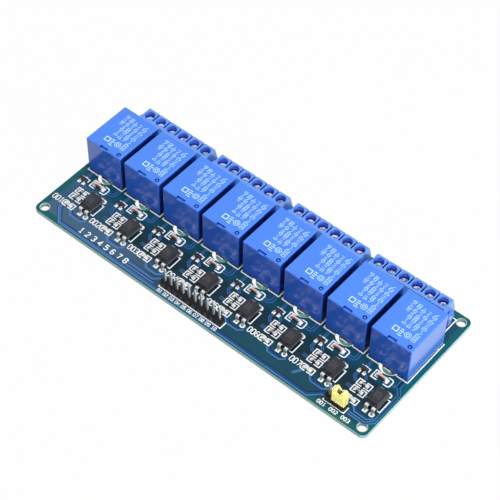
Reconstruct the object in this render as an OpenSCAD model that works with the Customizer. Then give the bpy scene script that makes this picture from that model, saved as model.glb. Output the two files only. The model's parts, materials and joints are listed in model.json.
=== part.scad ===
// Eight-channel relay module board.
// X runs along the row of relays, Y from the pin headers to the wire terminals, Z up.
// The origin is the centre of the four corner holes, on the underside of the board.

/* [Board] */
// Length of the board along X
board_l = 138.4; // [136:0.1:145]
// Width of the board along Y
board_w = 56.6; // [55:0.1:62]
// Thickness of the board
board_t = 1.6; // [1.2:0.1:2]
// Radius of the board's corners
corner_r = 2; // [1:0.1:2.6]
// Diameter of the corner holes
hole_d = 3.1; // [2.6:0.1:3.6]
// Distance between corner holes along X
hole_span_x = 133; // [130:0.1:134]
// Distance between corner holes along Y
hole_span_y = 51.2; // [49:0.1:52]

/* [Relays] */
// Distance from one relay to the next
relay_pitch = 17; // [16.2:0.1:17]
// Width of a relay along X
relay_w = 15.2; // [14.8:0.1:15.8]
// Length of a relay along Y
relay_l = 19.1; // [18.5:0.1:19.6]
// Height of a relay's housing above its feet
relay_h = 15.2; // [14:0.1:17]
// Front face of the relays
relay_front_y = -3.85; // [-4.2:0.05:-3.6]
// Rounding of the relay housing's edges
relay_edge_r = 0.45; // [0.2:0.05:0.8]

/* [Isolation slots] */
// Radius of the slot's middle line around the common pin
slot_r = 3.3; // [3:0.05:3.4]
// Width of the slot
slot_w = 1.25; // [0.8:0.05:1.4]
// Angle that the slot sweeps around the pin
slot_sweep = 240; // [180:5:260]

/* [Wire terminals] */
// Distance from one terminal to the next
way_pitch = 5; // [5:0.01:5.04]
// Distance from one pair of blocks to the next
pair_pitch = 32.6; // [31.9:0.1:33]
// Depth of a block along Y
block_d = 7.6; // [7:0.1:8]
// Height of a block
block_h = 10; // [9:0.1:11]
// Axis of the clamp screws along Y
screw_y = 21.35; // [21:0.05:21.6]
// Diameter of the screw wells
well_d = 3.6; // [3.3:0.05:3.9]
// Angle by which the last pair stands off the board at its right end
lean_angle = 1.8; // [0:0.1:2]
// How far the last pair sits to the right of the even spacing
lean_shift = 0.3; // [0:0.05:0.4]

/* [Driver channels] */
// Middle of an optocoupler, from its relay's middle along X
opto_dx = 5.15; // [4.8:0.05:5.4]
// Middle of the optocouplers along Y
opto_y = -15.8; // [-16.2:0.05:-15.4]
// Distance between an optocoupler's two rows of leads
opto_row = 8.9; // [8.4:0.1:9.4]
// Middle of the chip resistors and the lamp, from the relay's middle along X
chip_dx = -1.85; // [-2.2:0.05:-1.5]
// Middle of the upper chip resistor, the lower one and the lamp along Y
chip_y = [-13.05, -16.1, -19.8];
// Middle of a diode, from its relay's middle along X
diode_dx = 0.75; // [0.4:0.05:1.2]
// Middle of the diodes along Y
diode_y = -7.6; // [-7.9:0.05:-7.5]
// Middle of a transistor, from its relay's middle along X
transistor_dx = -5.4; // [-5.8:0.05:-5]
// Middle of the transistors along Y
transistor_y = -8.65; // [-8.9:0.05:-8.4]

/* [Headers] */
// Distance from one pin to the next
pin_pitch = 2.54; // [2.5:0.01:2.54]
// Row of the header pins along Y
header_y = -24.1; // [-24.4:0.05:-23.9]
// Middle of the ten-pin input header along X
input_x = -2.65; // [-4:0.05:0]
// Middle of the three-pin power header along X
power_x = 55.25; // [54:0.05:56]
// Height of a header's plastic strip
strip_h = 2.5; // [2:0.1:2.6]
// Height of the pin tips above the board
pin_top = 8.4; // [8:0.1:8.4]
// Height of the jumper cap
cap_h = 6.1; // [6.1:0.1:6.6]

/* [Solder side] */
// How far pins and leads reach below the board
tail = 2; // [1.8:0.1:2.4]
// Height of the solder cones
solder_h = 1; // [0.6:0.1:1.2]

/* [Hidden] */

channels = 8;
top = board_t;
eps = 0.01;
$fn = 48;

// Relay pins, seen from the common pin, which stands in the middle of the isolation slot
com_y = relay_front_y + 2;
coil_dx = 6;
coil_dy = 2;
throw_dy = 14.2;
relay_foot = 0.3;
contact_blade = [1.1, 0.5];
coil_blade = [0.6, 0.5];
drill_contact = 1.5;
drill_coil = 1.1;
// Each relay pin is [x, y, blade size, drill], measured from the relay's middle and the common pin
relay_pin_list = [[0, 0, contact_blade, drill_contact],
    [-coil_dx, coil_dy, coil_blade, drill_coil], [coil_dx, coil_dy, coil_blade, drill_coil],
    [-coil_dx, throw_dy, contact_blade, drill_contact], [coil_dx, throw_dy, contact_blade, drill_contact]];

// A three-way terminal block, measured from its own left end and from the board's upper face
ways = 3;
block_len = ways * way_pitch;
blocks = 8;
block_fit = 0.05;
top_d = 5.05;
rear_y = screw_y - 3.9;
front_y = rear_y + block_d;
top_front_y = screw_y + top_d / 2 - 0.05;
top_rear_y = top_front_y - top_d;
slit_w = 0.55;
slit_back_y = 19.9;
slit_floor = 2;
chamber_w = 3.9;
chamber_back_y = 18.1;
chamber_z = [1, 5.8];
cage_w = 3.7;
cage_l = 3.8;
cage_t = 0.7;
cage_z = [1.1, 5.6];
tongue_w = 2.1;
tongue_t = 0.7;
tongue_z = 3.4;
tail_y = 18.75;
screw_head_d = 3.3;
screw_head_h = 1.4;
screw_head_top = 7.8;
screw_bevel = 0.3;
screw_face_d = screw_head_d - 2 * screw_bevel;
screw_d = 2.5;
contact_w = 1;
contact_t = 0.7;
drill_terminal = 1.6;
rib_w = 2;
rib_out = 0.6;
rib_h = 6;
rib_y = 21.6;

// Optocoupler
opto_w = 4.6;
opto_len = 6.5;
opto_z = [0.75, 4.25];
opto_lead_z = 2.3;
opto_draft = 0.35;
lead_t = 0.25;
lead_wide = 1.2;
lead_narrow = 0.5;
drill_opto = 0.9;

// Two-lead and three-lead surface-mounted parts
solder_film = 0.05;
chip_l = 2;
chip_w = 1.25;
chip_h = 0.5;
chip_cap = 0.4;
chip_skin = 0.04;
diode_d = 1.45;
diode_l = 3.5;
diode_cap_l = 0.5;
sot_w = 2.9;
sot_d = 1.3;
sot_z = [0.1, 1.05];
sot_pitch = 1.9;

// Headers
pin_w = 0.64;
drill_header = 1;
strip_d = 2.5;
strip_cut = 0.45;
cap_l = 4.95;
cap_d = 2.45;
cap_wall = 0.42;
cap_edge_r = 0.3;
cap_body_h = 4.2;
cap_step = 0.22;
cap_notch_w = 1.5;
cap_notch_h = 1.6;
cap_gap = 0.04;
clip_t = 0.22;
clip_gap = 0.05;

function channel_x(i) = (i - (channels - 1) / 2) * relay_pitch;
function header_pin_x(i, n) = (i - (n - 1) / 2) * pin_pitch;
function block_x(b) = -0.25 + (floor(b / 2) - 1.5) * pair_pitch + (b % 2 - 1) * block_len + pair_shift(b);
function pair_shift(b) = b < blocks - 2 ? 0 : lean_shift;
function way_x(w) = (w + 0.5) * way_pitch;

// ---------- shared shapes ----------

module rounded_rect(l, w, r) {
    square([l, w - 2 * r], center = true);
    square([l - 2 * r, w], center = true);
    for (sx = [-1, 1], sy = [-1, 1])
        translate([sx * (l / 2 - r), sy * (w / 2 - r)])
            circle(r = r);
}

// A block whose edges are rounded, standing on z = 0
module soft_block(l, w, h, r) {
    intersection() {
        linear_extrude(h)
            rounded_rect(l, w, r);
        rotate([90, 0, 0])
            linear_extrude(w + 2, center = true)
                translate([0, h / 2])
                    rounded_rect(l, h, r);
        rotate([90, 0, 90])
            linear_extrude(l + 2, center = true)
                translate([0, h / 2])
                    rounded_rect(w, h, r);
    }
}

// A box given by its middle in X and Y and its lower face
module plate(size) {
    translate([0, 0, size[2] / 2])
        cube(size, center = true);
}

module at_channels() {
    for (i = [0:channels - 1])
        translate([channel_x(i), 0, 0])
            children();
}

// Puts a block's children on the board; the last pair leans on its left lower edge
module at_block(b) {
    leaning = b >= blocks - 2;
    pair_left = block_x(b - b % 2);
    translate([pair_left, 0, top])
        rotate([0, leaning ? -lean_angle : 0, 0])
            translate([block_x(b) - pair_left, 0, 0])
                children();
}

module at_ways() {
    for (b = [0:blocks - 1])
        at_block(b)
            for (w = [0:ways - 1])
                translate([way_x(w), 0, 0]) {
                    $way = b * ways + w;
                    children();
                }
}

// ---------- circuit board ----------

module isolation_slot() {
    start = 270 - slot_sweep / 2;
    rotate([0, 0, start])
        rotate_extrude(angle = slot_sweep)
            translate([slot_r - slot_w / 2, -1])
                square([slot_w, board_t + 2]);
    for (a = [start, start + slot_sweep])
        rotate([0, 0, a])
            translate([slot_r, 0, -1])
                cylinder(d = slot_w, h = board_t + 2);
}

module drill(d) {
    translate([0, 0, -1])
        cylinder(d = d, h = board_t + 2, $fn = 24);
}

module circuit_board() {
    color("#1d5f73")
    difference() {
        linear_extrude(board_t)
            rounded_rect(board_l, board_w, corner_r);
        for (sx = [-1, 1], sy = [-1, 1])
            translate([sx * hole_span_x / 2, sy * hole_span_y / 2, 0])
                drill(hole_d);
        at_channels() {
            translate([0, com_y, 0]) {
                isolation_slot();
                for (p = relay_pin_list)
                    translate([p[0], p[1], 0])
                        drill(p[3]);
            }
            for (sx = [-1, 1], sy = [-1, 1])
                translate([opto_dx + sx * pin_pitch / 2, opto_y + sy * opto_row / 2, 0])
                    drill(drill_opto);
        }
        for (b = [0:blocks - 1], w = [0:ways - 1])
            translate([block_x(b) + way_x(w), tail_y, 0])
                drill(drill_terminal);
        for (i = [0:9])
            translate([input_x + header_pin_x(i, 10), header_y, 0])
                drill(drill_header);
        for (i = [0:2])
            translate([power_x + header_pin_x(i, 3), header_y, 0])
                drill(drill_header);
    }
}

// ---------- relays ----------

// Sealed housing with a gate recess in its front upper edge and a vent pip beside it
module relay(i) {
    gate = [3.3, 1, 0.65];
    pip_at = [5.85, 1.45];
    foot = [1.6, 1.6];
    color("#3f6fe8")
    translate([channel_x(i), relay_front_y, top]) {
        translate([0, 0, relay_foot])
        difference() {
            translate([0, relay_l / 2, 0])
                soft_block(relay_w, relay_l, relay_h, relay_edge_r);
            translate([-gate[0] / 2, -1, relay_h - gate[2]])
                cube([gate[0], gate[1] + 1, gate[2] + 1]);
            translate([pip_at[0], pip_at[1], relay_h - 0.6])
                difference() {
                    cylinder(d = 1.55, h = 1);
                    translate([0, 0, -eps])
                        cylinder(d = 0.75, h = 0.5);
                }
        }
        for (sx = [-1, 1], y = [2.4, relay_l - 1.6])
            translate([sx * (relay_w / 2 - 1.6), y, 0])
                plate([foot[0], foot[1], relay_foot + 0.1 + relay_edge_r]);
    }
}

module relay_pins() {
    color("#c9ccd0")
    at_channels()
        for (p = relay_pin_list)
            translate([p[0], com_y + p[1], -tail])
                plate([p[2][0], p[2][1], tail + top + relay_foot]);
}

// ---------- wire terminals ----------

// Side outline of a block: the wire side leans in above the wire openings
module block_outline() {
    shoulder_front = 5.2;
    shoulder_rear = 6.6;
    polygon([[rear_y, 0], [front_y, 0], [front_y, shoulder_front], [top_front_y, block_h],
        [top_rear_y, block_h], [rear_y, shoulder_rear]]);
}

// Dovetail that slides into the next block; grow widens it for the matching groove
module dovetail(grow) {
    neck = rib_w * 0.7;
    linear_extrude(rib_h + grow)
        polygon([[-eps - grow, rib_y - neck / 2 - grow], [rib_out + grow, rib_y - rib_w / 2 - grow],
            [rib_out + grow, rib_y + rib_w / 2 + grow], [-eps - grow, rib_y + neck / 2 + grow]]);
}

module terminal_block(b) {
    length = block_len - block_fit;
    color("#4f86ee")
    at_block(b) {
        difference() {
            rotate([90, 0, 90])
                linear_extrude(length)
                    block_outline();
            // wire openings, clamp chambers and screw wells
            for (w = [0:ways - 1])
                translate([way_x(w), 0, 0]) {
                    translate([-chamber_w / 2, chamber_back_y, chamber_z[0]])
                        cube([chamber_w, front_y - chamber_back_y + 1, chamber_z[1] - chamber_z[0]]);
                    translate([-contact_w / 2 - 0.2, chamber_back_y, -1])
                        cube([contact_w + 0.4, tail_y - chamber_back_y + 0.6, 3]);
                    translate([0, screw_y, chamber_z[1] - 1])
                        cylinder(d = well_d, h = block_h);
                }
            // slits between the ways, half a slit at each end
            for (w = [0:ways])
                translate([w * way_pitch - slit_w / 2, slit_back_y, slit_floor])
                    cube([slit_w, block_d, block_h]);
            translate([0, 0, -1])
                dovetail_groove();
        }
        translate([length, 0, 0])
            dovetail(0);
    }
}

module dovetail_groove() {
    linear_extrude(rib_h + 1.2)
        polygon([[-1, rib_y - rib_w * 0.35 - 0.1], [0, rib_y - rib_w * 0.35 - 0.1],
            [rib_out + 0.1, rib_y - rib_w / 2 - 0.1], [rib_out + 0.1, rib_y + rib_w / 2 + 0.1],
            [0, rib_y + rib_w * 0.35 + 0.1], [-1, rib_y + rib_w * 0.35 + 0.1]]);
}

// Slotted screws with a bevelled head, each one stopped at a slightly different turn
module terminal_screws() {
    slot = [0.6, 0.8];
    color("#c4c8cc")
    at_ways()
        translate([0, screw_y, 0])
            difference() {
                union() {
                    translate([0, 0, screw_head_top - screw_bevel])
                        cylinder(d1 = screw_head_d, d2 = screw_face_d, h = screw_bevel, $fn = 32);
                    translate([0, 0, screw_head_top - screw_head_h])
                        cylinder(d = screw_head_d, h = screw_head_h - screw_bevel, $fn = 32);
                    translate([0, 0, tongue_z + tongue_t])
                        cylinder(d = screw_d, h = screw_head_top - tongue_z - tongue_t - 0.1, $fn = 32);
                }
                translate([0, 0, screw_head_top])
                    rotate([0, 0, 30 + 18 * sin(131 * $way)])
                        cube([screw_head_d + 1, slot[0], 2 * slot[1]], center = true);
            }
}

module terminal_cages() {
    inside = [cage_w - 2 * cage_t, cage_z[1] - cage_z[0] - 2 * cage_t];
    color("#b9bdc2")
    at_ways()
        translate([0, screw_y, cage_z[0]])
            difference() {
                plate([cage_w, cage_l, cage_z[1] - cage_z[0]]);
                translate([0, 0, cage_t])
                    plate([inside[0], cage_l + 2, inside[1]]);
                cylinder(d = screw_d + 0.1, h = 10, $fn = 32);
            }
}

module terminal_contacts() {
    color("#c9ccd0")
    at_ways() {
        translate([0, 0, tongue_z])
            translate([-tongue_w / 2, tail_y - contact_t / 2, 0])
                cube([tongue_w, screw_y + 1.7 - tail_y, tongue_t]);
        translate([0, tail_y, -top - tail])
            plate([contact_w, contact_t, tongue_z + top + tail + tongue_t / 2]);
    }
}

// ---------- optocouplers ----------

module opto_body_side(half) {
    mid = opto_lead_z;
    polygon([[-half + opto_draft, opto_z[0]], [half - opto_draft, opto_z[0]], [half, mid],
        [half - opto_draft, opto_z[1]], [-half + opto_draft, opto_z[1]], [-half, mid]]);
}

module optocoupler(i) {
    dot_at = [-opto_w / 2 + 1, -opto_len / 2 + 1.1];
    color("#2b2b31")
    translate([channel_x(i) + opto_dx, opto_y, top])
        difference() {
            intersection() {
                rotate([90, 0, 0])
                    linear_extrude(opto_len + 2, center = true)
                        opto_body_side(opto_w / 2);
                rotate([90, 0, 90])
                    linear_extrude(opto_w + 2, center = true)
                        opto_body_side(opto_len / 2);
            }
            translate([dot_at[0], dot_at[1], opto_z[1] - 0.12])
                cylinder(d = 0.9, h = 1, $fn = 24);
        }
}

// One lead in the plane of its row: out of the body, over the bend and down through the board
module opto_lead() {
    body_y = opto_len / 2;
    bend_y = body_y + 0.7;
    foot_y = opto_row / 2;
    color("#d5d8dc")
    translate([0, 0, top]) {
        rotate([90, 0, 90])
            linear_extrude(lead_wide, center = true)
                polygon([[body_y, opto_lead_z - lead_t / 2], [bend_y - 0.1, opto_lead_z - lead_t / 2],
                    [bend_y + 0.05, opto_lead_z - 0.3], [bend_y + 0.15, 1.1], [bend_y + 0.15 + lead_t, 1.1],
                    [bend_y + 0.05 + lead_t, opto_lead_z - 0.2], [bend_y + 0.1, opto_lead_z + lead_t / 2],
                    [body_y, opto_lead_z + lead_t / 2]]);
        rotate([90, 0, 90])
            linear_extrude(lead_narrow, center = true)
                polygon([[bend_y + 0.15, 1.2], [foot_y - lead_t / 2, 0.3], [foot_y - lead_t / 2, -top - tail + 0.4],
                    [foot_y + lead_t / 2, -top - tail + 0.4], [foot_y + lead_t / 2, 0.3], [bend_y + 0.15 + lead_t, 1.2]]);
    }
}

module optocoupler_leads() {
    at_channels()
        translate([opto_dx, opto_y, 0])
            for (sx = [-1, 1], side = [0, 180])
                translate([sx * pin_pitch / 2, 0, 0])
                    rotate([0, 0, side])
                        opto_lead();
}

// ---------- surface-mounted parts ----------

module transistor_body() {
    mid = 0.55;
    draft = 0.08;
    rotate([90, 0, 0])
        linear_extrude(sot_d, center = true)
            polygon([[-sot_w / 2 + draft, sot_z[0]], [sot_w / 2 - draft, sot_z[0]], [sot_w / 2, mid],
                [sot_w / 2 - draft, sot_z[1]], [-sot_w / 2 + draft, sot_z[1]], [-sot_w / 2, mid]]);
}

module transistor_bodies() {
    color("#26262b")
    at_channels()
        translate([transistor_dx, transistor_y, top])
            transistor_body();
}

// Gull-wing lead that starts at the transistor's side face
module transistor_lead() {
    side = sot_d / 2;
    thick = 0.13;
    rotate([90, 0, 90])
        linear_extrude(0.42, center = true)
            polygon([[side, 0.5], [side + 0.2, 0.5], [side + 0.25, solder_film], [side + 0.55, solder_film],
                [side + 0.55, solder_film + thick], [side + 0.36, solder_film + thick],
                [side + 0.3, 0.5 + thick], [side, 0.5 + thick]]);
}

module transistor_leads() {
    color("#d5d8dc")
    at_channels()
        translate([transistor_dx, transistor_y, top]) {
            transistor_lead();
            for (sx = [-1, 1])
                translate([sx * sot_pitch / 2, 0, 0])
                    rotate([0, 0, 180])
                        transistor_lead();
        }
}

module at_diodes() {
    at_channels()
        translate([diode_dx, diode_y, top + solder_film + diode_d / 2])
            rotate([0, 90, 0])
                children();
}

module diode_glasses() {
    color("#b8492c")
    at_diodes()
        cylinder(d = diode_d - 0.1, h = diode_l - 2 * diode_cap_l, center = true, $fn = 32);
}

module diode_caps() {
    color("#d5d8dc")
    at_diodes()
        for (s = [-1, 1])
            translate([0, 0, s * (diode_l - diode_cap_l) / 2])
                cylinder(d = diode_d, h = diode_cap_l, center = true, $fn = 32);
}

module at_chips(rows) {
    at_channels()
        for (r = rows)
            translate([chip_dx, chip_y[r], top + solder_film])
                children();
}

module chip_core(h) {
    translate([0, 0, chip_skin])
        plate([chip_l - 2 * chip_skin, chip_w - 2 * chip_skin, h - 2 * chip_skin]);
}

// Metal caps that wrap both ends of a chip
module chip_caps(h) {
    for (s = [-1, 1])
        difference() {
            translate([s * (chip_l - chip_cap) / 2, 0, 0])
                plate([chip_cap, chip_w, h]);
            chip_core(h);
        }
}

module resistor_bodies() {
    color("#24242a")
    at_chips([0, 1])
        chip_core(chip_h);
}

module resistor_terminals() {
    color("#d5d8dc")
    at_chips([0, 1])
        chip_caps(chip_h);
}

module led_bodies() {
    base_h = 0.35;
    lens = [1.15, 1.1, 0.75];
    color("#e9ecdf")
    at_chips([2]) {
        chip_core(base_h);
        translate([0, 0, base_h - chip_skin - eps])
            soft_lens(lens);
    }
}

module soft_lens(size) {
    draft = 0.08;
    intersection() {
        rotate([90, 0, 0])
            linear_extrude(size[1], center = true)
                polygon([[-size[0] / 2, 0], [size[0] / 2, 0], [size[0] / 2 - draft, size[2] - 0.25],
                    [-size[0] / 2 + draft, size[2] - 0.25]]);
        plate([size[0], size[1], size[2]]);
    }
}

module led_terminals() {
    color("#d5d8dc")
    at_chips([2])
        chip_caps(0.35);
}

// ---------- headers and jumper ----------

module header_strip(n) {
    color("#1f1f24")
    translate([0, header_y, top])
        difference() {
            linear_extrude(strip_h)
                for (i = [0:n - 1])
                    translate([header_pin_x(i, n), 0])
                        polygon([[-pin_pitch / 2, -strip_d / 2 + strip_cut], [-pin_pitch / 2 + strip_cut, -strip_d / 2],
                            [pin_pitch / 2 - strip_cut, -strip_d / 2], [pin_pitch / 2, -strip_d / 2 + strip_cut],
                            [pin_pitch / 2, strip_d / 2 - strip_cut], [pin_pitch / 2 - strip_cut, strip_d / 2],
                            [-pin_pitch / 2 + strip_cut, strip_d / 2], [-pin_pitch / 2, strip_d / 2 - strip_cut]]);
            for (i = [0:n - 1])
                translate([header_pin_x(i, n), 0, -1])
                    plate([pin_w, pin_w, strip_h + 2]);
        }
}

// Square pin with four-sided points
module header_pin() {
    half = pin_w / 2;
    point = 0.16;
    taper = 0.5;
    low = -tail;
    high = top + pin_top;
    module side()
        linear_extrude(pin_w + 1, center = true)
            polygon([[-point, low], [point, low], [half, low + taper], [half, high - taper],
                [point, high], [-point, high], [-half, high - taper], [-half, low + taper]]);
    intersection() {
        rotate([90, 0, 0])
            side();
        rotate([90, 0, 90])
            side();
    }
}

module header_pins(n) {
    color("#d5d8dc")
    for (i = [0:n - 1])
        translate([header_pin_x(i, n), header_y, 0])
            header_pin();
}

module at_cap() {
    translate([power_x + pin_pitch / 2, header_y, top + strip_h + cap_gap])
        children();
}

// Outline of the cap's grip, seen from the front: two rounded humps with a round notch between them
module cap_grip_outline() {
    reach = cap_l / 2 - cap_step;
    hump_r = (reach - cap_notch_w / 2) / 2;
    notch_mid = cap_h - cap_notch_h + cap_notch_w / 2;
    for (s = [-1, 1])
        translate([s * (reach - hump_r), 0]) {
            translate([0, cap_h - hump_r])
                circle(r = hump_r, $fn = 32);
            translate([-hump_r, 0])
                square([2 * hump_r, cap_h - hump_r]);
        }
    difference() {
        translate([-reach, 0])
            square([2 * reach, notch_mid]);
        translate([0, notch_mid])
            circle(d = cap_notch_w, $fn = 32);
    }
}

// Cap over the middle and right pins: a body, a narrower two-humped grip on it, and a test slot at the step
module jumper_cap() {
    grip_d = cap_d - 2 * cap_step;
    roof = 0.3;
    pin_room = [3.4, 1.25, cap_h - roof];
    test_slot = [1.1, 2, 0.4];
    color("#f2e14e")
    at_cap()
        difference() {
            union() {
                linear_extrude(cap_body_h)
                    rounded_rect(cap_l, cap_d, cap_edge_r);
                rotate([90, 0, 0])
                    linear_extrude(grip_d, center = true)
                        cap_grip_outline();
            }
            translate([0, 0, -1])
                plate([cap_l - 2 * cap_wall, cap_d - 2 * cap_wall, cap_body_h - roof + 1]);
            translate([0, 0, -1])
                plate([pin_room[0], pin_room[1], pin_room[2] + 1]);
            translate([0, -cap_d / 2, cap_body_h - test_slot[2] / 2])
                plate(test_slot);
        }
}

// Folded spring strip that grips both pins and bridges them under the saddle
module jumper_clip() {
    leaf = [cap_l - 2 * cap_wall - 0.1, clip_t, 3.5];
    leaf_y = pin_w / 2 + clip_gap + clip_t / 2;
    bridge_z = 4.5;
    color("#c9ccd0")
    at_cap() {
        for (sy = [-1, 1])
            translate([0, sy * leaf_y, 0.3])
                plate(leaf);
        for (sy = [-1, 1])
            translate([0, sy * leaf_y, 0.3])
                plate([1.4, clip_t, bridge_z]);
        translate([0, 0, 0.3 + bridge_z - clip_t])
            plate([1.4, 2 * leaf_y, clip_t]);
    }
}

// ---------- solder ----------

module solder_cone(d, lead) {
    difference() {
        translate([0, 0, -solder_h])
            cylinder(d1 = d * 0.45, d2 = d, h = solder_h, $fn = 20);
        children();
    }
}

module blade(size) {
    translate([0, 0, -tail - 1])
        plate([size[0], size[1], tail + 1 + eps]);
}

module solder_joints() {
    color("#c2c6ca") {
        at_channels() {
            for (p = relay_pin_list)
                translate([p[0], com_y + p[1], 0])
                    solder_cone(p[3] + 1.5)
                        blade(p[2]);
            for (sx = [-1, 1], sy = [-1, 1])
                translate([opto_dx + sx * pin_pitch / 2, opto_y + sy * opto_row / 2, 0])
                    solder_cone(drill_opto + 1)
                        blade([lead_narrow, lead_t]);
        }
        for (b = [0:blocks - 1], w = [0:ways - 1])
            translate([block_x(b) + way_x(w), tail_y, 0])
                solder_cone(drill_terminal + 1.2)
                    translate([-block_x(b) - way_x(w), -tail_y, 0])
                        at_block(b)
                            translate([way_x(w), tail_y, -top - tail - 1])
                                plate([contact_w, contact_t, tail + top + 2]);
        for (i = [0:9])
            translate([input_x + header_pin_x(i, 10), header_y, 0])
                solder_cone(drill_header + 0.9)
                    blade([pin_w, pin_w]);
        for (i = [0:2])
            translate([power_x + header_pin_x(i, 3), header_y, 0])
                solder_cone(drill_header + 0.9)
                    blade([pin_w, pin_w]);
    }
}

circuit_board();
relay(0);  // relay_1
relay(1);  // relay_2
relay(2);  // relay_3
relay(3);  // relay_4
relay(4);  // relay_5
relay(5);  // relay_6
relay(6);  // relay_7
relay(7);  // relay_8
relay_pins();
terminal_block(0);  // terminal_block_1
terminal_block(1);  // terminal_block_2
terminal_block(2);  // terminal_block_3
terminal_block(3);  // terminal_block_4
terminal_block(4);  // terminal_block_5
terminal_block(5);  // terminal_block_6
terminal_block(6);  // terminal_block_7
terminal_block(7);  // terminal_block_8
terminal_screws();
terminal_cages();
terminal_contacts();
optocoupler(0);  // optocoupler_1
optocoupler(1);  // optocoupler_2
optocoupler(2);  // optocoupler_3
optocoupler(3);  // optocoupler_4
optocoupler(4);  // optocoupler_5
optocoupler(5);  // optocoupler_6
optocoupler(6);  // optocoupler_7
optocoupler(7);  // optocoupler_8
optocoupler_leads();
transistor_bodies();
transistor_leads();
diode_glasses();
diode_caps();
resistor_bodies();
resistor_terminals();
led_bodies();
led_terminals();
translate([input_x, 0, 0]) header_strip(10);  // input_header_strip
translate([input_x, 0, 0]) header_pins(10);  // input_header_pins
translate([power_x, 0, 0]) header_strip(3);  // power_header_strip
translate([power_x, 0, 0]) header_pins(3);  // power_header_pins
jumper_cap();
jumper_clip();
solder_joints();
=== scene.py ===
import json
import math
import random

import bmesh
import bpy
from bpy.props import FloatProperty, FloatVectorProperty, PointerProperty
from mathutils import Euler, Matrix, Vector


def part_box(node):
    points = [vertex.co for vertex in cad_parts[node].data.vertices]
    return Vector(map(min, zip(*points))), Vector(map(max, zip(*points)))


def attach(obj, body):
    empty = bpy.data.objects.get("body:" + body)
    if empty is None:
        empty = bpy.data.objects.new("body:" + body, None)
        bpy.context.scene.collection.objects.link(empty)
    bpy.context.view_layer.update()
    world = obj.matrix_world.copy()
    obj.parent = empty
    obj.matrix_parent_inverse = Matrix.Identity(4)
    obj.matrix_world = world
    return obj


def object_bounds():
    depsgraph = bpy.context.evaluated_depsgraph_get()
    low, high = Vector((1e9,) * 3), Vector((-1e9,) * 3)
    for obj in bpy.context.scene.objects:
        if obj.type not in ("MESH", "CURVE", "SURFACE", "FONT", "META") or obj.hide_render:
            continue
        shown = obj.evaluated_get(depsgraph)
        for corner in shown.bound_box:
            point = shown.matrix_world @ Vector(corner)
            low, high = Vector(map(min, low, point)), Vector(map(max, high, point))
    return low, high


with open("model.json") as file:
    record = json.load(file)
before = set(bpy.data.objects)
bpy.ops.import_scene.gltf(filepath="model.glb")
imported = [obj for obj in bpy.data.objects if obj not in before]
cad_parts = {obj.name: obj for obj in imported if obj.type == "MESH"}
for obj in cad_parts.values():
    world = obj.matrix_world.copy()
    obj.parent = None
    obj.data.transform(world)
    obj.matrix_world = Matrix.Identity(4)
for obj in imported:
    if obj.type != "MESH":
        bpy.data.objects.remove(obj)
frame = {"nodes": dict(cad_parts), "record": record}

bl_info = {
    "name": "Relay module board finish",
    "version": (1, 0, 0),
    "blender": (4, 5, 0),
    "location": "View3D > Sidebar > Relay board",
    "description": "Printing, copper, solder and finishes for an eight-channel relay board",
    "category": "Add Mesh",
}

MM = 0.001
MICRON = 0.000001
BODY = "module"
CHANNELS = 8
CAD_LOW, CAD_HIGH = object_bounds()


# -------------------- places on the board, in millimetres

def box_mm(node):
    """Lowest and highest corner of a CAD node."""
    low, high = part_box(node)
    return low * (1 / MM), high * (1 / MM)


def middle_mm(node):
    """Middle of a CAD node's box."""
    low, high = box_mm(node)
    return (low + high) / 2


BOARD_LOW, BOARD_HIGH = box_mm("circuit_board")
TOP = BOARD_HIGH.z
UNDER = BOARD_LOW.z

# The relays and their pins
RELAYS = [box_mm(f"relay_{n + 1}") for n in range(CHANNELS)]
CHANNEL_X = [(low.x + high.x) / 2 for low, high in RELAYS]
MIDDLE_X = (CHANNEL_X[0] + CHANNEL_X[-1]) / 2
RELAY_FRONT, RELAY_BACK = RELAYS[0][0].y, RELAYS[0][1].y
RELAY_TOP = RELAYS[0][1].z
COMMON_Y = RELAY_FRONT + 2
COIL_Y = RELAY_FRONT + 4
THROW_Y = RELAY_FRONT + 16.2
RELAY_PIN_DX = 6

# The small parts: their places are the same in every channel
OPTO = middle_mm("optocoupler_1")
OPTO_X = OPTO.x - CHANNEL_X[0]
LEADS_LOW, LEADS_HIGH = box_mm("optocoupler_leads")
LEAD_HALF = 0.13
OPTO_ROW = (LEADS_HIGH.y - LEADS_LOW.y) / 2 - LEAD_HALF
DIODE = middle_mm("diode_glasses")
DIODE_X = DIODE.x - MIDDLE_X
TRANSISTOR = middle_mm("transistor_bodies")
TRANSISTOR_X = TRANSISTOR.x - MIDDLE_X
CHIPS = box_mm("resistor_bodies")
CHIP_X = middle_mm("resistor_bodies").x - MIDDLE_X
CHIP_HALF = 0.6
RESISTOR_Y = (CHIPS[1].y - CHIP_HALF, CHIPS[0].y + CHIP_HALF)
LAMP_Y = middle_mm("led_bodies").y

# Headers and wire terminals
PIN_PITCH = 2.54
HEADERS = {"input_header_strip": 10, "power_header_strip": 3}
PAIRS = CHANNELS // 2
WAYS = 3
WAY_PITCH = 5.0
TERMINAL_PIN_Y = box_mm("terminal_contacts")[0].y + 0.35

# Bottom and top of the flat work, sunk a little into the face that carries it
SINK = 0.01
COPPER = (TOP - SINK, TOP + 0.02)
COPPER_CORE = (TOP - SINK, TOP + 0.03)
LAND = (TOP - SINK, TOP + 0.045)
PRINT = (TOP - SINK, TOP + 0.06)
SOLDER_FOOT = LAND[1] - SINK
COPPER_BELOW = (UNDER - 0.02, UNDER + SINK)
CORE_BELOW = (UNDER - 0.03, UNDER + SINK)
LAND_BELOW = (UNDER - 0.045, UNDER + SINK)


# -------------------- what a user may change

def colour_setting(name, description, default):
    """A colour, as red, green and blue from 0 to 1."""
    return FloatVectorProperty(name=name, description=description, default=default, subtype="COLOR",
                               size=3, min=0, max=1)


def power_setting(name, description, default):
    """A lamp's power, in watts."""
    return FloatProperty(name=name, description=description, default=default, subtype="POWER", min=0, max=100)


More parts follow.
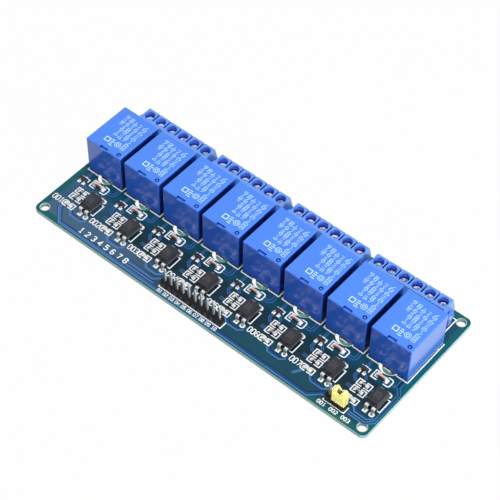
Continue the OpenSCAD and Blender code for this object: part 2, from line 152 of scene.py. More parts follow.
def share_setting(name, description, default):
    """A share, from 0 to 1."""
    return FloatProperty(name=name, description=description, default=default, subtype="FACTOR", min=0, max=1)


class BoardSettings(bpy.types.PropertyGroup):
    """Colours and sizes of the board and its printing."""
    mask: colour_setting("Mask", "Solder mask over bare laminate", (0.006, 0.056, 0.092))
    mask_margin: colour_setting("Mask margin", "Solder mask along the board's edges", (0.003, 0.096, 0.117))
    # Painted reflection: this pale mask stands in for the white surroundings mirrored towards the front left,
    # not for thinner mask.
    mask_sheen: colour_setting("Pale mask", "Solder mask where it lies thin", (0.051, 0.117, 0.207))
    mask_deep: colour_setting("Deep mask", "Solder mask among the small parts", (0.007, 0.0225, 0.033))
    copper: colour_setting("Masked copper", "Solder mask over copper runs", (0.012, 0.060, 0.195))
    # Thin mask along the edges of copper runs, and also the painted highlight along one side of the wide runs.
    copper_edge_and_highlight: colour_setting("Copper edge", "Thin mask along the edges of copper runs", (0.08, 0.25, 0.54))
    # Painted shadow: the dark line beside the wide runs stands in for shade, not for thicker mask.
    copper_shadow: colour_setting("Copper seam", "Thick mask beside a copper run", (0.003, 0.022, 0.075))
    laminate: colour_setting("Laminate", "Bare glass-fibre laminate at cut edges", (0.60, 0.92, 0.92))
    ink: colour_setting("Ink", "White printing", (0.96, 0.98, 0.98))
    line: FloatProperty(
        name="Line width", description="Width of the printed lines", subtype="DISTANCE",
        default=0.38 * MM, min=0.1 * MM, max=0.6 * MM, precision=5)


class PlasticSettings(bpy.types.PropertyGroup):
    """Colours of the moulded parts."""
    relay: colour_setting("Relay", "Relay housings", (0.075, 0.238, 0.84))
    terminal: colour_setting("Terminal", "Terminal blocks", (0.135, 0.315, 0.82))
    opto: colour_setting("Optocoupler", "Optocoupler and transistor bodies", (0.035, 0.035, 0.042))
    strip: colour_setting("Header strip", "Plastic strips of the pin headers", (0.012, 0.012, 0.015))
    cap: colour_setting("Jumper cap", "Yellow jumper cap", (1.0, 0.85, 0.26))
    relay_print: colour_setting("Relay print", "Printed marks on the relays", (0.62, 0.90, 0.98))


class StageSettings(bpy.types.PropertyGroup):
    """Light and floor."""
    world: FloatProperty(
        name="World", description="Strength of the even light", subtype="FACTOR", default=0.29, min=0, max=3)
    key: power_setting("Key lamp", "Power of the large lamp above", 11.0)
    side: power_setting("Side lamp", "Power of the lamp at the right", 9.0)
    cap: power_setting("Cap lamp", "Power of the small lamp that shines on the jumper cap alone", 7.0)
    floor: share_setting("Floor glow", "How far the floor is white by itself", 0.985)
    floor_tint: share_setting("Floor tint", "How much light the floor throws back", 0.3)
    ceiling: share_setting("Ceiling", "How bright a mirror sees the ceiling", 0.3)


# -------------------- shader maths

class Value:
    """A node's output that can be used in sums: each sum adds its Math node."""

    def __init__(self, nodes, socket):
        self.nodes = nodes
        self.socket = socket

    def maths(self, operation, first, second=None):
        inputs = {0: first} if second is None else {0: first, 1: second}
        return self.nodes.node("ShaderNodeMath", {"operation": operation}, inputs)

    def __add__(self, other):
        return self.maths("ADD", self, other)

    def __radd__(self, other):
        return self.maths("ADD", other, self)

    def __sub__(self, other):
        return self.maths("SUBTRACT", self, other)

    def __rsub__(self, other):
        return self.maths("SUBTRACT", other, self)

    def __mul__(self, other):
        return self.maths("MULTIPLY", self, other)

    def __rmul__(self, other):
        return self.maths("MULTIPLY", other, self)

    def __truediv__(self, other):
        return self.maths("DIVIDE", self, other)

    def __neg__(self):
        return self.maths("MULTIPLY", self, -1)

    def __abs__(self):
        return self.maths("ABSOLUTE", self)

    def above(self, other):
        """The larger of the two."""
        return self.maths("MAXIMUM", self, other)

    def fraction(self):
        """What is left after the whole number below it."""
        return self.maths("FRACT", self)


class Nodes:
    """A node tree that is filled by expressions."""

    def __init__(self, owner, output):
        owner.use_nodes = True
        self.tree = owner.node_tree
        self.tree.nodes.clear()
        self.output = self.tree.nodes.new(output)

    def surface(self, value):
        self.tree.links.new(value.socket, self.output.inputs["Surface"])

    def feed(self, socket, value):
        """Links an output to the socket, or sets a constant on it."""
        if isinstance(value, Value):
            self.tree.links.new(value.socket, socket)
        elif hasattr(value, "__len__") and len(value) == 3 and len(socket.default_value) == 4:
            socket.default_value = (*value, 1)
        else:
            socket.default_value = value

    def node(self, kind, settings, inputs, output=0):
        """Adds a node; its settings are set first, then its sockets."""
        made = self.tree.nodes.new(kind)
        for name, value in settings.items():
            setattr(made, name, value)
        for key, value in inputs.items():
            self.feed(made.inputs[key], value)
        return Value(self, made.outputs[output])

    def place(self):
        """The point's place on the object, in metres."""
        return self.node("ShaderNodeTexCoord", {}, {}, "Object")

    def axes(self, vector):
        """Its three parts, along X, Y and Z."""
        return [self.node("ShaderNodeSeparateXYZ", {}, {0: vector}, axis) for axis in range(3)]

    def noise(self, vector, scale, detail=3.0, roughness=0.5):
        inputs = {"Vector": vector, "Scale": scale, "Detail": detail, "Roughness": roughness}
        return self.node("ShaderNodeTexNoise", {}, inputs)

    def step(self, value, low, high):
        """0 below low, 1 above high, smooth between."""
        inputs = {"Value": value, "From Min": low, "From Max": high}
        return self.node("ShaderNodeMapRange", {"interpolation_type": "SMOOTHSTEP"}, inputs)

    def mix(self, factor, first, second):
        """The first colour at 0, the second at 1."""
        return self.node("ShaderNodeMix", {"data_type": "RGBA"}, {0: factor, 6: first, 7: second}, 2)

    def facing(self):
        """How far the face looks right, back and up."""
        return self.axes(self.node("ShaderNodeNewGeometry", {}, {}, "Normal"))

    def frontward(self):
        """1 on the faces towards the headers."""
        return self.step(-self.facing()[1], 0.35, 0.9)

    def rightward(self):
        """1 on the faces towards the right-hand end."""
        return self.step(self.facing()[0], 0.5, 0.9)

    def open_share(self, reach):
        """How much of the room within reach is free of other faces."""
        return self.node("ShaderNodeAmbientOcclusion", {"samples": 6}, {"Distance": reach}, "AO")

    def openness(self, reach):
        """0 deep inside a slit or a well, 1 on an open face."""
        return self.step(self.open_share(reach), 0.25, 0.85)

    def directly_seen(self):
        """1 for what the camera, a mirror or glass shows, 0 for light that falls on things."""
        camera, glossy, through = [self.node("ShaderNodeLightPath", {}, {}, name)
                                   for name in ("Is Camera Ray", "Is Glossy Ray", "Is Transmission Ray")]
        return camera.above(glossy).above(through)


class Shader(Nodes):
    """One material: its node tree and its Principled shader."""

    def __init__(self, name, constants):
        self.material = bpy.data.materials.new(name)
        super().__init__(self.material, "ShaderNodeOutputMaterial")
        self.principled = self.tree.nodes.new("ShaderNodeBsdfPrincipled")
        self.surface(self.own())
        for socket, value in constants.items():
            self.principled.inputs[socket].default_value = value

    def own(self):
        """What the Principled shader gives."""
        return Value(self, self.principled.outputs[0])

    def bump(self, height, distance, strength=1.0):
        inputs = {"Height": height, "Distance": distance, "Strength": strength}
        self.set("Normal", self.node("ShaderNodeBump", {}, inputs))

    def mask_skin(self, place):
        """The faint orange peel of solder mask."""
        self.bump(self.noise(place, 1400, 2), 20 * MICRON, 0.5)

    def set(self, name, value):
        self.feed(self.principled.inputs[name], value)


def tone(colour, factor):
    """The colour made lighter or darker."""
    return tuple(min(1.0, channel * factor) for channel in colour)


# -------------------- finishes

# Where a tint of the mask begins and where it is full, in metres from the board's middle; the margin's
# are measured from the edge. A zone to the left or front is measured in that direction.
MARGIN = (-0.0024, -0.0012)
AMONG_RELAYS = (-0.0095, -0.0065)
FRONT_EDGE = (0.0185, 0.0215)
# The next two zones bound a painted reflection on the mask, and the zone for copper further down bounds one on
# the copper runs.
SHEEN_LEFT = (0.012, 0.05)
SHEEN_FAR_LEFT = (0.045, 0.064)
DEEP_RIGHT = (-0.048, -0.025)
COPPER_LEFT = (-0.01, 0.03)
CORNER_HOLES = (0.060, 0.062)


def solder_mask(settings):
    """Blue-green mask: greener along the edges, cloudy, and paler towards the front left by a painted
    reflection; laminate on every cut wall, with painted shade inside the corner holes and on the walls that
    face right.
    """
    s = Shader("solder_mask", {"IOR": 1.5})
    place = s.place()
    x, y, _ = s.axes(place)
    up = s.facing()[2]
    half = (BOARD_HIGH - BOARD_LOW) * 0.5 * MM
    cloud = s.noise(place, 55, 3)
    outward = (abs(x) - half.x).above(abs(y) - half.y)
    margin = s.step(outward + s.noise(place, 900, 2) * 0.0006, *MARGIN)
    behind = s.step(y + cloud * 0.003, *AMONG_RELAYS)
    front = s.step(-y + cloud * 0.002, *FRONT_EDGE)
    # Painted reflection: these masks mark where the mask is painted paler towards the front left.
    left = s.step(-x + cloud * 0.02, *SHEEN_LEFT)
    far_left = s.step(-x + cloud * 0.01, *SHEEN_FAR_LEFT) * (1 - behind) * 0.65
    pale = (left * front).above(far_left)
    among_parts = (1 - behind) * (1 - front) * s.step(x + cloud * 0.01, *DEEP_RIGHT)
    on_top = s.step(up, 0.4, 0.6)
    colour = s.mix(cloud, tone(settings.mask, 0.75), tone(settings.mask, 1.3))
    colour = s.mix(among_parts * on_top * 0.85, colour, settings.mask_deep[:])
    # The painted reflection: paler mask towards the front left.
    colour = s.mix(pale * on_top * 0.9, colour, settings.mask_sheen[:])
    colour = s.mix(margin, colour, settings.mask_margin[:])
    glass_layers = s.noise(s.node("ShaderNodeMapping", {}, {0: place, 3: (90, 90, 6000)}), 1.0, 2)
    cut = s.mix(glass_layers, tone(settings.laminate, 0.75), tone(settings.laminate, 1.25))
    # Painted shade on the cut walls: the occluded walls of the corner holes are painted dark olive, and the
    # walls that face right are painted darker.
    slot_wall, hole_shade, shaded_wall = (0.42, 1.0, 0.76), (0.10, 0.09, 0.035), (0.12, 0.42, 0.38)
    drilled = s.mix(s.step(abs(x), *CORNER_HOLES), slot_wall, hole_shade)
    cut = s.mix(s.openness(0.003), drilled, cut)
    cut = s.mix(s.rightward() * 0.45, cut, shaded_wall)
    flat = s.step(abs(up), 0.4, 0.6)
    s.set("Base Color", s.mix(flat, cut, colour))
    s.set("Roughness", 0.62 - flat * 0.34 + s.noise(place, 2500) * 0.06)
    s.mask_skin(place)
    return s.material


def masked_copper(name, colour, behind=0.8, reflection_lift=(0.035, 0.07, 0.15)):
    """Copper under the mask: scaled by behind among the small parts, and paler towards the front left by the
    colour its last argument adds, a painted reflection of the white surroundings.
    """
    s = Shader(name, {"IOR": 1.5})
    place = s.place()
    x, y, _ = s.axes(place)
    front = s.step(-y, *FRONT_EDGE)
    left = s.step(-x, *COPPER_LEFT) * front
    shade = s.mix(s.noise(place, 160, 3), tone(colour, 0.8), tone(colour, 1.25))
    shade = s.mix(front, tone(colour, behind), shade)
    # Painted reflection: the runs towards the front left are made paler.
    s.set("Base Color", s.mix(left, shade, [channel + more for channel, more in zip(colour, reflection_lift)]))
    s.set("Roughness", 0.24 + s.noise(place, 2500) * 0.08)
    s.mask_skin(place)
    return s.material


def moulded(name, colour, roughness=0.25, grain=20, grain_scale=3000, cloud=0.1, coat=0.0, ior=1.5,
            reach=0.0, inside=1.0, front=1.0, parting=None, **more):
    """Moulded plastic: a skin pebbled by grain microns, faint flow marks and uneven gloss.

    Wells and slits narrower than reach get painted shade, scaled by inside, and less gloss. A lower front
    paints shade on the faces towards the headers.
    With a parting line, the upright faces that don't face right get painted shade, and a pale seam runs at that
    height in mm.
    """
    scuff = 0.1
    constants = {"IOR": ior, "Coat Weight": coat, "Coat Roughness": 0.06, "Coat IOR": 1.6, **more}
    s = Shader(name, constants)
    place = s.place()
    dye_and_shade = s.mix(s.noise(place, 120, 4, 0.6), tone(colour, 1 - cloud), tone(colour, 1 + cloud))
    if reach:
        # Painted shade: faces towards the headers, and wells and slits found by ambient occlusion, are given
        # darker colours.
        red, green, blue = colour
        dye_and_shade = s.mix(s.frontward() * (1 - front), dye_and_shade, (red * 0.3, green * 0.55, blue))
        share = s.open_share(reach)
        is_open = s.step(share, 0.4, 0.85)
        slit = [channel * channel * 0.14 for channel in colour]
        well = tone((red * 0.15, green * 0.4, blue * 1.2), inside)
        dye_and_shade = s.mix(is_open, s.mix(s.step(share, 0.1, 0.35), slit, well), dye_and_shade)
        s.set("Coat Weight", is_open * coat)
    if parting:
        # Painted shade: the upright faces that don't face right are darkened; then a pale parting seam is
        # added.
        side = 1 - s.step(abs(s.facing()[2]), 0.5, 0.8)
        dye_and_shade = s.mix(side * (1 - s.rightward()) * 0.75, dye_and_shade, tone(colour, 0.2))
        seam = 1 - s.step(abs(s.axes(place)[2] - parting * MM), 0.00008, 0.00018)
        dye_and_shade = s.mix(seam * side, dye_and_shade, (0.22, 0.22, 0.23))
    s.set("Base Color", dye_and_shade)
    s.set("Roughness", roughness - scuff / 2 + s.noise(place, 420, 5, 0.65) * scuff)
    s.bump(s.noise(place, grain_scale, 3), grain * MICRON)
    return s.material


def metal(name, colour, roughness=0.28, gleam=0.7, front_shade=0.6):
    """Plated metal: uneven gloss and tone, and painted shade on the faces towards the headers.

    A lower gleam gives a milkier plating, and dull is how far the faces towards the headers are darkened by
    painted shade.
    """
    unevenness, scale = 0.16, 900
    s = Shader(name, {"Metallic": gleam})
    place = s.place()
    wear = s.noise(place, scale, 5, 0.65)
    plating = s.mix(wear, tone(colour, 0.82), tone(colour, 1.06))
    # Painted shade: the faces towards the headers turn dark.
    s.set("Base Color", s.mix(s.frontward() * front_shade, plating, tone(colour, 0.15)))
    s.set("Roughness", roughness - unevenness / 2 + wear * unevenness)
    s.bump(s.noise(place, scale * 3, 2), 10 * MICRON)
    return s.material


def zinc_screw():
    """Zinc-plated screw heads: bright random patches painted as glints, and painted shade that darkens the slot
    and rim.
    """
    s = Shader("zinc_screw", {"Metallic": 0.3})
    # Painted glints: bright random patches, which are also smoother and raised.
    glint_patch = s.step(s.noise(s.place(), 1100, 4, 0.7), 0.42, 0.58)
    plating = s.mix(glint_patch, (0.30, 0.32, 0.36), (1.0, 1.0, 1.0))
    # Painted shade: the slot and rim, found by ambient occlusion, turn near black.
    s.set("Base Color", s.mix(s.openness(0.0008), (0.02, 0.02, 0.03), plating))
    s.set("Roughness", 0.45 - glint_patch * 0.25)
    s.bump(glint_patch, 40 * MICRON)
    return s.material


def solder_alloy():
    """Bright milky solder with an uneven grain."""
    s = Shader("solder_alloy", {"Metallic": 0.15})
    place = s.place()
    grain = s.noise(place, 1500, 5, 0.7)
    s.set("Base Color", s.mix(grain, (0.90, 0.90, 0.89), (1.0, 1.0, 0.99)))
    s.set("Roughness", 0.25 + grain * 0.2)
    s.bump(s.noise(place, 1100, 3), 50 * MICRON, 0.8)
    return s.material


def printed(name, colour):
    """Ink: matt, with thin spots."""
    s = Shader(name, {"IOR": 1.45})
    place = s.place()
    thin = s.noise(place, 2600, 3, 0.6)
    s.set("Base Color", s.mix(s.step(thin, 0.3, 0.55), tone(colour, 0.86), colour[:]))
    s.set("Roughness", 0.5 + thin * 0.15)
    s.bump(s.noise(place, 5000, 2), 10 * MICRON)
    return s.material


def diode_glass():
    """Orange glass with a pale painted highlight along its top, round a dark die in the middle of every diode.
    """
    s = Shader("diode_glass", {"IOR": 1.5, "Roughness": 0.08, "Coat Weight": 1.0, "Coat Roughness": 0.03,
                               "Transmission Weight": 0.25})
    place = s.place()
    pitch = (CHANNEL_X[1] - CHANNEL_X[0]) * MM
    first = (CHANNEL_X[0] + DIODE_X) * MM
    off_middle = abs(((s.axes(place)[0] - first) / pitch + 0.5).fraction() - 0.5) * pitch
    die = 1 - s.step(off_middle, 0.00022, 0.0005)
    glass = s.mix(s.noise(place, 1800, 3), (0.20, 0.04, 0.03), (0.45, 0.12, 0.08))
    inside = s.mix(die * 0.8, glass, (0.05, 0.012, 0.01))
    # Painted highlight: the upward faces of the glass turn pale pink.
    crown_highlight = s.step(s.facing()[2], 0.8, 0.97)
    s.set("Base Color", s.mix(crown_highlight * 0.9, inside, (1.0, 0.84, 0.80)))
    return s.material


def lamp_resin():
    """Milky clear resin."""
    s = Shader("lamp_resin", {"IOR": 1.5, "Roughness": 0.15, "Coat Weight": 0.6, "Coat Roughness": 0.05,
                              "Subsurface Weight": 0.2})
    s.set("Base Color", s.mix(s.noise(s.place(), 1500, 3), (0.70, 0.73, 0.62), (0.93, 0.94, 0.88)))
    return s.material


# Fixed colours, the height of the parting line in small black parts, and how light passes the yellow cap
TIN = (1.0, 1.0, 0.99)
SPRING_STEEL = (0.32, 0.31, 0.29)
BARE_LAMINATE = (0.50, 0.56, 0.42)
FAINT_GREY = (0.075, 0.075, 0.08)
OPTO_SEAM = TOP + 2.3
TRANSLUCENT = {"Subsurface Weight": 0.3, "Subsurface Radius": (1.0, 0.9, 0.35), "Subsurface Scale": 0.0012}
FINISHES = {}


def finish_for(name):
    """Makes each finish once, by name."""
    board = bpy.context.scene.relay_board
    plastic = bpy.context.scene.relay_plastic
    makers = {
        "solder_mask": lambda: solder_mask(board),
        "copper_core": lambda: masked_copper(name, board.copper),
        "copper_edge_and_highlight": lambda: masked_copper(name, board.copper_edge_and_highlight, 0.65, (0.02, -0.02, -0.12)),
        "copper_shadow": lambda: masked_copper(name, board.copper_shadow, 1.0, (0.004, 0.012, 0.03)),
        "bare_laminate": lambda: moulded(name, BARE_LAMINATE, 0.6, 30, 1500, 0.25),
        "board_ink": lambda: printed(name, board.ink),
        "relay_ink": lambda: printed(name, plastic.relay_print),
        "faint_print": lambda: printed(name, FAINT_GREY),
        # Painted shade: the relays are darker in the gaps between them and on the faces towards the headers,
        # the terminal blocks in their wells and slits, and the black resin on its upright faces that don't face
        # right.
        "relay_skin": lambda: moulded(name, plastic.relay, 0.2, 12, 2600, 0.07, coat=0.28, reach=0.004,
                                      inside=0.3, front=0.3),
        "terminal_skin": lambda: moulded(name, plastic.terminal, 0.34, 20, 2600, coat=0.5, ior=1.55,
                                         reach=0.0028),
        "resin_black": lambda: moulded(name, plastic.opto, 0.38, 40, 5200, 0.25, parting=OPTO_SEAM),
        "strip_black": lambda: moulded(name, plastic.strip, 0.42, cloud=0.2, ior=1.4),
        "cap_yellow": lambda: moulded(name, plastic.cap, 0.32, 20, 2600, 0.06, coat=0.2, **TRANSLUCENT),
        # Painted shade: the plated metals turn dark on the faces towards the headers.
        "tin_plate": lambda: metal(name, TIN, 0.36, gleam=0.25, front_shade=0.65),
        "pin_plate": lambda: metal(name, TIN, 0.3, gleam=0.25, front_shade=0.9),
        "spring_steel": lambda: metal(name, SPRING_STEEL, 0.3, gleam=1.0),
        "zinc_screw": zinc_screw,
        "solder_alloy": solder_alloy,
        "diode_glass": diode_glass,
        "lamp_resin": lamp_resin,
    }
    if name not in FINISHES:
        FINISHES[name] = makers[name]()
    return FINISHES[name]


# -------------------- thin flat work: ink, copper and lands

def beside(points, offset, closed=False):
    """A line of points moved sideways, to its left where offset is above 0, mitred at its bends."""
    line = [Vector(p) for p in points]
    ends = line + line[:1] if closed else line
    ways = [(b - a).normalized() for a, b in zip(ends, ends[1:])]
    moved = []
    for i, here in enumerate(line):
        before = ways[i - 1] if closed or i else ways[0]
        along = (before + ways[min(i, len(ways) - 1)]).normalized()
        across = Vector((-along.y, along.x))
        moved.append(here + across * offset / max(0.5, along.dot(before)))
    return moved


class FlatWork:
    """Thin closed plates on one mesh, drawn in millimetres."""

    def __init__(self, *finishes):
        self.mesh = bmesh.new()
        self.finishes = finishes

    def corners(self, outline, z):
        """New corners along an outline, at the height z."""
        return [self.mesh.verts.new((x * MM, y * MM, z * MM)) for x, y in outline]

    def prism(self, first, second):
        """Closes the room between two like rows of corners."""
        self.mesh.faces.new(second)
        self.mesh.faces.new(first[::-1])
        for i in range(len(first)):
            j = (i + 1) % len(first)
            self.mesh.faces.new((first[i], first[j], second[j], second[i]))

    def bar(self, x0, x1, y0, y1, heights):
        """An upright block."""
        outline = [(x0, y0), (x1, y0), (x1, y1), (x0, y1)]
        self.prism(*[self.corners(outline, z) for z in heights])

    def run(self, points, width, heights, finish=0, closed=False):
        """A strip of even width along a line of points."""
        sides = [beside(points, side * width / 2, closed) for side in (1, -1)]
        rows = [self.corners(side, z) for side in sides for z in heights]
        left_low, left_high, right_low, right_high = rows
        count = len(points)
        faces = []
        for i in range(count if closed else count - 1):
            j = (i + 1) % count
            faces += [(right_high[i], right_high[j], left_high[j], left_high[i]),
                      (left_low[i], left_low[j], right_low[j], right_low[i]),
                      (right_low[i], right_low[j], right_high[j], right_high[i]),
                      (left_high[i], left_high[j], left_low[j], left_low[i])]
        if not closed:
            faces += [(left_low[0], right_low[0], right_high[0], left_high[0]),
                      (right_low[-1], left_low[-1], left_high[-1], right_high[-1])]
        for face in faces:
            self.mesh.faces.new(face).material_index = finish

    def ring(self, x, y, outer, inner, heights, sides=32, start=0):
        """A flat ring whose first corner lies start degrees from the right."""
        turns = [math.radians(start + 360 * i / sides) for i in range(sides)]
        radius = (outer + inner) / 2
        points = [(x + radius * math.cos(a), y + radius * math.sin(a)) for a in turns]
        self.run(points, outer - inner, heights, closed=True)

    def fillet(self, x, y, turn, width, height, reach):
        """A wedge of solder that leans on an upright end at (x, y) and runs out in the direction of turn."""
        steps, spread = 5, 0.12
        foot = Vector((x, y))
        out = Vector((math.cos(turn), math.sin(turn)))
        side = Vector((-out.y, out.x))
        rows = []
        for sign in (-1, 1):
            row = []
            for i in range(steps + 1):
                a = math.pi / 2 * i / steps
                half = width / 2 * (1 + spread * i / steps)
                p = foot + out * reach * (1 - math.cos(a)) + side * sign * half
                row += self.corners([p], SOLDER_FOOT + height * (1 - math.sin(a)))
            row += self.corners([foot + side * sign * width / 2], SOLDER_FOOT)
            rows.append(row)
        near, far = rows
        self.prism(far, near)

    def done(self, name, body=BODY):
        """The finished piece, riding on its body."""
        bmesh.ops.remove_doubles(self.mesh, verts=self.mesh.verts, dist=1e-9)
        bmesh.ops.recalc_face_normals(self.mesh, faces=self.mesh.faces)
        data = bpy.data.meshes.new(name)
        self.mesh.to_mesh(data)
        self.mesh.free()
        piece = bpy.data.objects.new(name, data)
        bpy.context.scene.collection.objects.link(piece)
        for finish in self.finishes:
            data.materials.append(finish_for(finish))
        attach(piece, body)


# Strokes of plain figures on a grid one wide and two high
FIGURES = {
    "0": [[(0, 0.3), (0, 1.7), (0.3, 2), (0.7, 2), (1, 1.7), (1, 0.3), (0.7, 0), (0.3, 0), (0, 0.3)]],
    "1": [[(0.2, 1.6), (0.55, 2), (0.55, 0)], [(0.15, 0), (0.95, 0)]],
    "2": [[(0, 1.7), (0.3, 2), (0.7, 2), (1, 1.7), (1, 1.25), (0, 0), (1, 0)]],
    "3": [[(0, 1.8), (0.3, 2), (0.8, 2), (1, 1.7), (1, 1.3), (0.6, 1.05), (1, 0.8), (1, 0.3), (0.7, 0),
           (0.2, 0), (0, 0.2)]],
    "4": [[(0.75, 0), (0.75, 2), (0, 0.6), (1, 0.6)]],
    "5": [[(1, 2), (0.1, 2), (0.05, 1.15), (0.7, 1.2), (1, 0.9), (1, 0.3), (0.7, 0), (0.2, 0), (0, 0.2)]],
    "6": [[(0.9, 1.85), (0.6, 2), (0.3, 2), (0, 1.5), (0, 0.3), (0.3, 0), (0.7, 0), (1, 0.3), (1, 0.8),
           (0.7, 1.1), (0, 1)]],
    "7": [[(0, 2), (1, 2), (0.4, 0)]],
    "8": [[(0.3, 1.05), (0, 1.3), (0, 1.75), (0.3, 2), (0.7, 2), (1, 1.75), (1, 1.3), (0.7, 1.05),
           (0.3, 1.05), (0, 0.8), (0, 0.25), (0.3, 0), (0.7, 0), (1, 0.25), (1, 0.8), (0.7, 1.05)]],
    "9": [[(1, 1), (0.3, 0.9), (0, 1.2), (0, 1.7), (0.3, 2), (0.7, 2), (1, 1.7), (1, 0.5), (0.7, 0), (0.2, 0)]],
}


def number(work, text, x, y, height, stroke, squeeze=0.56, gap=1.5):
    """Plain figures whose first one's lower left corner is at (x, y)."""
    unit = height / 2
    wide = unit * squeeze * 2
    for place, figure in enumerate(text):
        left = x + place * wide * gap
        for line in FIGURES[figure]:
            work.run([(left + px * wide, y + py * unit) for px, py in line], stroke, PRINT)


# -------------------- the board's printing

def both_ends(work, x0, x1, y0, y1, arm, line, round_left=0, round_right=0):
    """Two brackets that face each other around a part."""
    for sign, x, bend in ((1, x0, round_left), (-1, x1, round_right)):
        points = [(x, y1), (x, y0)]
        if bend:
            points = []
            for y, first in ((y1 - bend, 4), (y0 + bend, 8)):
                for a in [math.pi / 8 * i for i in range(first, first + 5)]:
                    points.append((x + sign * bend * (1 + math.cos(a)), y + bend * math.sin(a)))
        inner = x + sign * arm
        work.run([(inner, y1), *points, (inner, y0)], line, PRINT)


def print_channel(work, index, line):
    """The printing of one driver channel: the relay's frame, brackets round the small parts and a number."""
    x = CHANNEL_X[index]
    half, front = 7.85, RELAY_FRONT - 0.2
    dashes = ((-half, -2.7), (-1.35, 1.35), (3.5, half))
    for a, b in dashes:
        work.bar(x + a, x + b, front - line / 2, front + line / 2, PRINT)
    for side in (x - half, x + half):
        work.bar(side - line / 2, side + line / 2, front, RELAY_BACK + 0.1, PRINT)
    diode = x + DIODE_X
    both_ends(work, diode - 3.05, diode + 3.65, DIODE.y - 1.6, DIODE.y + 1.5, 2.15, line, round_right=0.8)
    body, y = x + TRANSISTOR_X, TRANSISTOR.y
    work.bar(body - 1.6, body - 0.8, y + 1.1, y + 1.4, PRINT)
    work.run([(body + 0.5, y + 1.25), (body + 1.68, y + 1.25), (body + 1.68, y)], line, PRINT)
    left, right, arm = x + CHIP_X - 2.35, x + CHIP_X + 2.5, 2.05
    for y in RESISTOR_Y:
        both_ends(work, left, right, y - 1.12, y + 1.12, arm, line)
    both_ends(work, left, right, LAMP_Y - 1.05, LAMP_Y + 1.05, arm, line, round_left=0.7)
    number(work, f"00{index + 1}", x - 8.45, LAMP_Y - 1.0, height=2.05, stroke=0.3, squeeze=0.5, gap=1.42)
    right = x + OPTO_X + 2.68
    work.run([(right - 0.9, -12.85), (right, -12.85), (right, -18.15), (right - 3.1, -18.15)], line, PRINT)


def print_headers(work, line):
    """Outlines and plain pin numbers of both headers, and a row of channel numbers."""
    low, high = box_mm("input_header_strip")
    left, right, y = low.x - 0.2, high.x + 0.25, low.y - 0.3
    work.run([(left, low.y + 0.3), (left, y), (right, y), (right, high.y + 0.2)], line, PRINT)
    tick_half, tick_length = 0.15, 0.42
    for pin in range(HEADERS["input_header_strip"]):
        x = low.x + PIN_PITCH * (pin + 0.5)
        if pin:
            tick = x - PIN_PITCH / 2
            work.bar(tick - tick_half, tick + tick_half, y - tick_length, y, PRINT)
        number(work, f"{pin + 1:02d}", x - 0.82, y - 1.8, height=1.15, stroke=0.23, squeeze=0.58, gap=1.42)
    low, high = box_mm("power_header_strip")
    left, right, y = low.x - 0.2, high.x + 0.15, low.y - 0.05
    work.run([(left, y + 0.6), (left, y), (right, y), (right, y + 2.6)], line, PRINT)
    spacing = 4.6
    for pin in range(HEADERS["power_header_strip"]):
        x = low.x - 1.2 + pin * spacing
        number(work, f"{pin + 1:03d}", x, y - 1.95, height=1.2, stroke=0.25, squeeze=0.6)
    first, spacing = -50.8, 2.8
    for n in range(CHANNELS):
        number(work, str(n + 1), first + n * spacing, -26.0, height=1.95, stroke=0.34, squeeze=0.6)


def pair_ends(pair):
    """Left and right end of a pair of terminal blocks."""
    return box_mm(f"terminal_block_{pair * 2 + 1}")[0].x, box_mm(f"terminal_block_{pair * 2 + 2}")[1].x


def print_terminals(work, line):
    """A line round each pair of terminal blocks and a plain number at every way."""
    front, back = 17.2, box_mm("terminal_block_1")[1].y + 0.35
    for pair in range(PAIRS):
        left, right = pair_ends(pair)
        left, right = left - 0.3, right + 0.2
        work.run([(left, front), (left, back), (right, back), (right, front)], line, PRINT)
        for way in range(2 * WAYS):
            x = left + WAY_PITCH * (way + 0.5)
            number(work, str(way % WAYS + 1), x, back + 0.55, height=1.3, stroke=0.2)


# -------------------- copper and lands

# The finishes of a copper run, in the order in which its piece holds them
COPPER_FINISHES = ("copper_core", "copper_edge_and_highlight", "copper_shadow")
CORE, EDGE, SHADOW = range(3)


def copper_path(work, points, width, heights=(COPPER, COPPER_CORE), rim=0.5):
    """A masked copper run: a pale edge with a darker middle."""
    work.run(points, width, heights[0], EDGE)
    work.run(points, width - rim, heights[1], CORE)


def lit_copper(work, points, width):
    """A wide masked run, with a painted highlight along its right-hand side and a painted shadow, a dark line,
    beyond its left-hand one.
    """
    # Widths of the painted highlight and the painted shadow, and how far the shadow lies out from the run.
    edge, seam, out = 0.3, 0.34, 0.1
    work.run(points, width, COPPER, CORE)
    work.run(beside(points, edge / 2 - width / 2), edge, COPPER_CORE, EDGE)
    work.run(beside(points, width / 2 + out), seam, COPPER_CORE, SHADOW)


def copper_of_channel(work, index):
    """The runs among one channel's small parts."""
    x = CHANNEL_X[index]
    low = -22.5 if index < CHANNELS / 2 else -22.35
    lit_copper(work, [(x + 0.4, -20.9), (x + 1.8, low), (x + 6.1, low), (x + 7.6, -21.0)], 1.05)
    paths = [
        ([(-6.25, -10.2), (-6.25, -12.1), (-5.2, -13.2), (-4.0, -13.2)], 0.95),
        ([(-3.9, -9.8), (-2.4, -11.3)], 0.85),
        ([(-6.4, -16.2), (-4.0, -16.2)], 1.05),
        ([(0.9, -13.2), (2.2, -13.2)], 0.7),
        ([(0.9, -16.2), (2.2, -16.2)], 0.7),
        ([(-5.35, -7.2), (-5.35, -4.2)], 0.85),
    ]
    if index < CHANNELS - 1:
        paths.append(([(3.4, -7.6), (6.5, -7.6), (7.2, -6.9), (7.2, -4.2)], 1.2))
    else:
        paths.append(([(3.4, -7.6), (5.6, -7.6), (6.2, -7.2), (6.2, -4.2)], 0.8))
        paths.append(([(6.9, -4.2), (6.9, -7.2), (8.7, -9.5), (8.7, -22.0), (6.6, -24.15), (0.4, -24.15)], 1.1))
    for points, width in paths:
        copper_path(work, [(x + px, py) for px, py in points], width)


